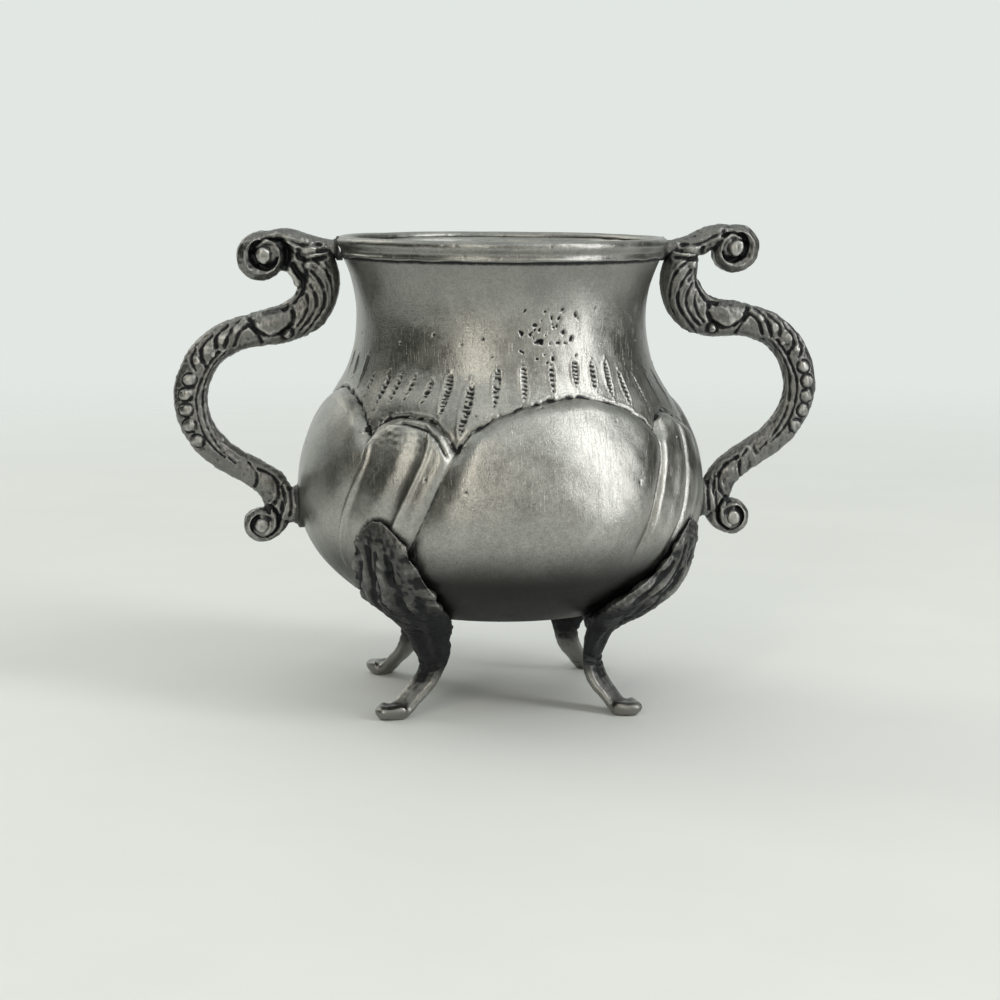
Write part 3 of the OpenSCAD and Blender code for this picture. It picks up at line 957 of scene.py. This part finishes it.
def metal(name, slot, factor, smooth, rough, grain, part):
    """Aged metal: tarnish in the hollows, rubbed edges, cloudy satin and fine grain, with painted
    shade brought in by the patina and, on the bowl, painted dark reflections on the lower belly and
    the upper neck.
    """
    rgb = shade(record_colour(slot), factor)[:3]
    brushed_with_painted_reflections = part == "bowl"
    n = Nodes(name)
    cloud = n.noise(9, 3)
    mottle = n.noise(1.4, 4, 0.6)
    fine = n.noise(0.4, 3, 0.6)
    uneven = n.math("MULTIPLY", n.math("SUBTRACT", mottle, 0.5), 0.7)
    # The patina holds tarnish in the hollows and painted shade: the shadow line under the rim, the
    # shade round the castings and in the left handle's web.
    dirt = n.scale(n.math("ADD", n.attribute("patina_and_shade"), uneven), 0.1, 0.8)
    worn = n.scale(n.math("ADD", n.attribute("worn"), uneven), 0.1, 0.9)
    patches = n.math("ADD", n.math("MULTIPLY", cloud, 0.6), n.math("MULTIPLY", mottle, 0.4))
    tone = n.blend(n.scale(patches, 0.36, 0.64), shade(rgb, 0.8), shade(rgb, 1.12))
    tone = n.blend(n.scale(fine, 0.5, 0.7, 0.0, 0.5), tone, shade(rgb, 0.45))
    tone = n.blend(n.scale(fine, 0.45, 0.3, 0.0, 0.35), tone, shade(rgb, 1.6))
    tone = n.blend(n.math("MULTIPLY", worn, 0.85), tone, shade(rgb, 1.5 if brushed_with_painted_reflections else 2.2))
    if brushed_with_painted_reflections:
        # Painted dark reflection: the lower belly darkens towards the base.
        under = n.scale(n.height(), *PAINTED_REFLECTION_UNDER_BELLY)
        tone = n.blend(n.math("MULTIPLY", under, 0.97), tone, shade(rgb, 0.08))
        # Painted dark reflection: the upper neck darkens towards the rim.
        tone = n.blend(n.scale(n.height(), *PAINTED_REFLECTION_UPPER_NECK, 0.0, 0.45), tone, shade(rgb, 0.35))
    if part == "foot":
        tone = n.blend(n.scale(n.height(), *BRIGHT_TOES, 0.0, 0.7), tone, shade(rgb, 2.1))
    tone = n.blend(dirt, tone, INK)
    gloss = n.scale(patches, 0.38, 0.62, smooth, rough)
    gloss = n.math("ADD", gloss, n.math("MULTIPLY", dirt, 0.15), True)
    lines = n.noise(0.3, 2, 0.5, (0.03, 0.03, 1))
    scratch = n.noise(0.16, 0, 0.5, (1, 0.03, 0.03), (0.3, 0.5, 0.9))
    scratch = n.scale(scratch, 0.66, 0.74)
    on_neck = n.scale(n.height(), *BRUSHED_FROM, 0.12, 1.0) if brushed_with_painted_reflections else 0.2
    relief = n.math("ADD", n.math("MULTIPLY", fine, grain), n.math("MULTIPLY", mottle, grain))
    relief = n.math("ADD", relief, n.math("MULTIPLY", n.math("MULTIPLY", lines, on_neck), 0.5))
    relief = n.math("SUBTRACT", relief, n.math("MULTIPLY", scratch, 0.4))
    bump = n.add("ShaderNodeBump")
    bump.inputs["Strength"].default_value = 0.55
    bump.inputs["Distance"].default_value = 0.11 * MM
    n.join(relief, bump.inputs["Height"])
    surface = n.add("ShaderNodeBsdfPrincipled")
    n.join(tone, surface.inputs["Base Color"])
    n.join(gloss, surface.inputs["Roughness"])
    n.join(n.math("SUBTRACT", 1.0, n.math("MULTIPLY", dirt, 0.35)), surface.inputs["Metallic"])
    n.join(bump.outputs[0], surface.inputs["Normal"])
    n.join(surface.outputs[0], n.add("ShaderNodeOutputMaterial").inputs[0])
    return n.material


# Distance from the bowl, in metres, over which the floor melts into the wall
FLOOR_FADE = (0.25, 0.95)


def plain_floor():
    """A matt pale floor that melts into the pale wall far from the bowl."""
    n = Nodes("pale_floor")
    surface = n.add("ShaderNodeBsdfPrincipled")
    tone = n.blend(n.scale(n.noise(60, 3), 0.3, 0.7), (0.80, 0.81, 0.79, 1), (0.82, 0.83, 0.81, 1))
    n.join(tone, surface.inputs["Base Color"])
    surface.inputs["Roughness"].default_value = 0.75
    away = n.add("ShaderNodeVectorMath", operation="LENGTH")
    n.join(n.add("ShaderNodeTexCoord").outputs["Object"], away.inputs[0])
    fade = n.add("ShaderNodeMixShader")
    n.join(n.scale(away.outputs["Value"], *FLOOR_FADE), fade.inputs[0])
    n.join(surface.outputs[0], fade.inputs[1])
    n.join(n.add("ShaderNodeBsdfTransparent").outputs[0], fade.inputs[2])
    n.join(fade.outputs[0], n.add("ShaderNodeOutputMaterial").inputs[0])
    return n.material


# ---------------------------------------------------------------- stage, lights, camera


def build_floor():
    half = 1.0
    corners = [(-half, -half, 0), (half, -half, 0), (half, half, 0), (-half, half, 0)]
    mesh = bpy.data.meshes.new("floor")
    mesh.from_pydata(corners, [], [(0, 1, 2, 3)])
    floor = bpy.data.objects.new("floor", mesh)
    bpy.context.scene.collection.objects.link(floor)
    mesh.materials.append(plain_floor())


LIT_HEIGHT = 0.07


def area_light(name, azimuth, elevation, distance, size, radiance, rgb):
    """A soft light that faces the bowl's middle. Azimuth 0 is in front, 90 on the right."""
    lamp = bpy.data.lights.new(name, "AREA")
    lamp.shape = "RECTANGLE"
    lamp.size, lamp.size_y = size
    lamp.energy = radiance * math.pi * size[0] * size[1]
    lamp.color = rgb
    light = bpy.data.objects.new(name, lamp)
    bpy.context.scene.collection.objects.link(light)
    a, e = math.radians(azimuth), math.radians(elevation)
    back = Vector((math.sin(a) * math.cos(e), -math.cos(a) * math.cos(e), math.sin(e)))
    light.location = Vector((0, 0, LIT_HEIGHT)) + back * distance
    light.rotation_mode = "QUATERNION"
    light.rotation_quaternion = back.to_track_quat("Z", "Y")
    light.visible_camera = False


ROOM_FRONT = (0.07, 0.071, 0.058, 1)
ROOM_BACK = (0.78, 0.82, 0.79, 1)
WALL_TONE = (0.76, 0.80, 0.77, 1)


def build_world():
    """A pale room: bright behind and overhead, dim at the sides and on the camera's side."""
    world = bpy.data.worlds.new("room")
    bpy.context.scene.world = world
    world.use_nodes = True
    tree = world.node_tree
    tree.nodes.clear()

    def ramp(value, start, end):
        node = tree.nodes.new("ShaderNodeMapRange")
        node.interpolation_type = "SMOOTHSTEP"
        node.inputs["From Min"].default_value = start
        node.inputs["From Max"].default_value = end
        tree.links.new(value, node.inputs["Value"])
        return node.outputs[0]

    def mixed(share, first, second):
        node = tree.nodes.new("ShaderNodeMix")
        node.data_type = "RGBA"
        tree.links.new(share, node.inputs[0])
        for socket, value in ((node.inputs[6], first), (node.inputs[7], second)):
            if isinstance(value, tuple):
                socket.default_value = value
            else:
                tree.links.new(value, socket)
        return node.outputs[2]

    split = tree.nodes.new("ShaderNodeSeparateXYZ")
    tree.links.new(tree.nodes.new("ShaderNodeTexCoord").outputs["Generated"], split.inputs[0])
    around = mixed(ramp(split.outputs[1], 0.5, 0.92), ROOM_FRONT, ROOM_BACK)
    lit = mixed(ramp(split.outputs[2], 0.45, 0.8), around, ROOM_BACK)
    sight = tree.nodes.new("ShaderNodeLightPath").outputs["Is Camera Ray"]
    light = tree.nodes.new("ShaderNodeBackground")
    tree.links.new(mixed(sight, lit, WALL_TONE), light.inputs["Color"])
    tree.links.new(light.outputs[0], tree.nodes.new("ShaderNodeOutputWorld").inputs[0])


CAMERA_HEADING = 8.3
CAMERA_DISTANCE = 0.568
CAMERA_HEIGHT = 0.1357
CAMERA_PITCH = 8.5
CAMERA_ROLL = 0.37
CAMERA_LENS = 80.2


def build_camera():
    camera = bpy.data.objects.new("camera", bpy.data.cameras.new("camera"))
    bpy.context.scene.collection.objects.link(camera)
    bpy.context.scene.camera = camera
    camera.data.lens = CAMERA_LENS
    camera.data.sensor_width = 36
    camera.data.clip_start = 0.01
    heading = math.radians(CAMERA_HEADING)
    camera.location = (
        -math.sin(heading) * CAMERA_DISTANCE,
        -math.cos(heading) * CAMERA_DISTANCE,
        CAMERA_HEIGHT,
    )
    turn = (
        Matrix.Rotation(-heading, 4, "Z")
        @ Matrix.Rotation(math.radians(90 - CAMERA_PITCH), 4, "X")
        @ Matrix.Rotation(math.radians(CAMERA_ROLL), 4, "Z")
    )
    camera.rotation_mode = "QUATERNION"
    camera.rotation_quaternion = turn.to_quaternion()


# ---------------------------------------------------------------- build

build_camera()
build_floor()
build_world()
bpy.context.scene.view_settings.view_transform = "Standard"
# Name, azimuth, elevation, distance, size, radiance, colour
area_light("window", 55, 16, 1.5, (0.42, 2.3), 5.6, (0.99, 1.0, 0.995))
area_light("narrow_window", -28, 20, 1.5, (0.1, 1.3), 11.0, (1.0, 0.95, 0.84))
area_light("room", 12, 18, 1.7, (2.0, 1.7), 0.42, (1.0, 0.995, 0.90))
area_light("left_window", -131, 35, 1.5, (0.75, 0.8), 1.9, (1.0, 0.98, 0.88))

# Name, record slot, share of the record's colour, roughness from and to, grain, part
bowl_metal = metal("aged_bowl_with_painted_reflections", "bowl_metal", 0.88, 0.29, 0.39, 0.9, "bowl")
rim_metal = metal("aged_rim", "rim_metal", 0.68, 0.29, 0.4, 0.7, "rim")
cast_metal = metal("aged_casting", "cast_metal", 0.62, 0.30, 0.44, 0.8, "handle")
foot_metal = metal("aged_foot", "foot_metal", 0.5, 0.30, 0.44, 0.8, "foot")
solder_metal = metal("aged_solder", "solder", 0.4, 0.4, 0.6, 1.0, "solder")

castings = [build_handle("handle_left", -1, 51).data, build_handle("handle_right", 1, 61).data]
for mesh in castings:
    mesh.materials.append(cast_metal)
for number, node in enumerate(sorted(FOOT_BENDS)):
    castings.append(build_foot(node, FOOT_SEED + 5 * number).data)
    castings[-1].materials.append(foot_metal)
build_body(castings).data.materials.append(bowl_metal)
build_rim().data.materials.append(rim_metal)

carried = {"base_disc": bowl_metal}
carried.update({node: solder_metal for node in frame["nodes"] if node.startswith("solder")})
for node, material in carried.items():
    mesh = frame["nodes"][node].data
    mesh.materials.clear()
    mesh.materials.append(material)
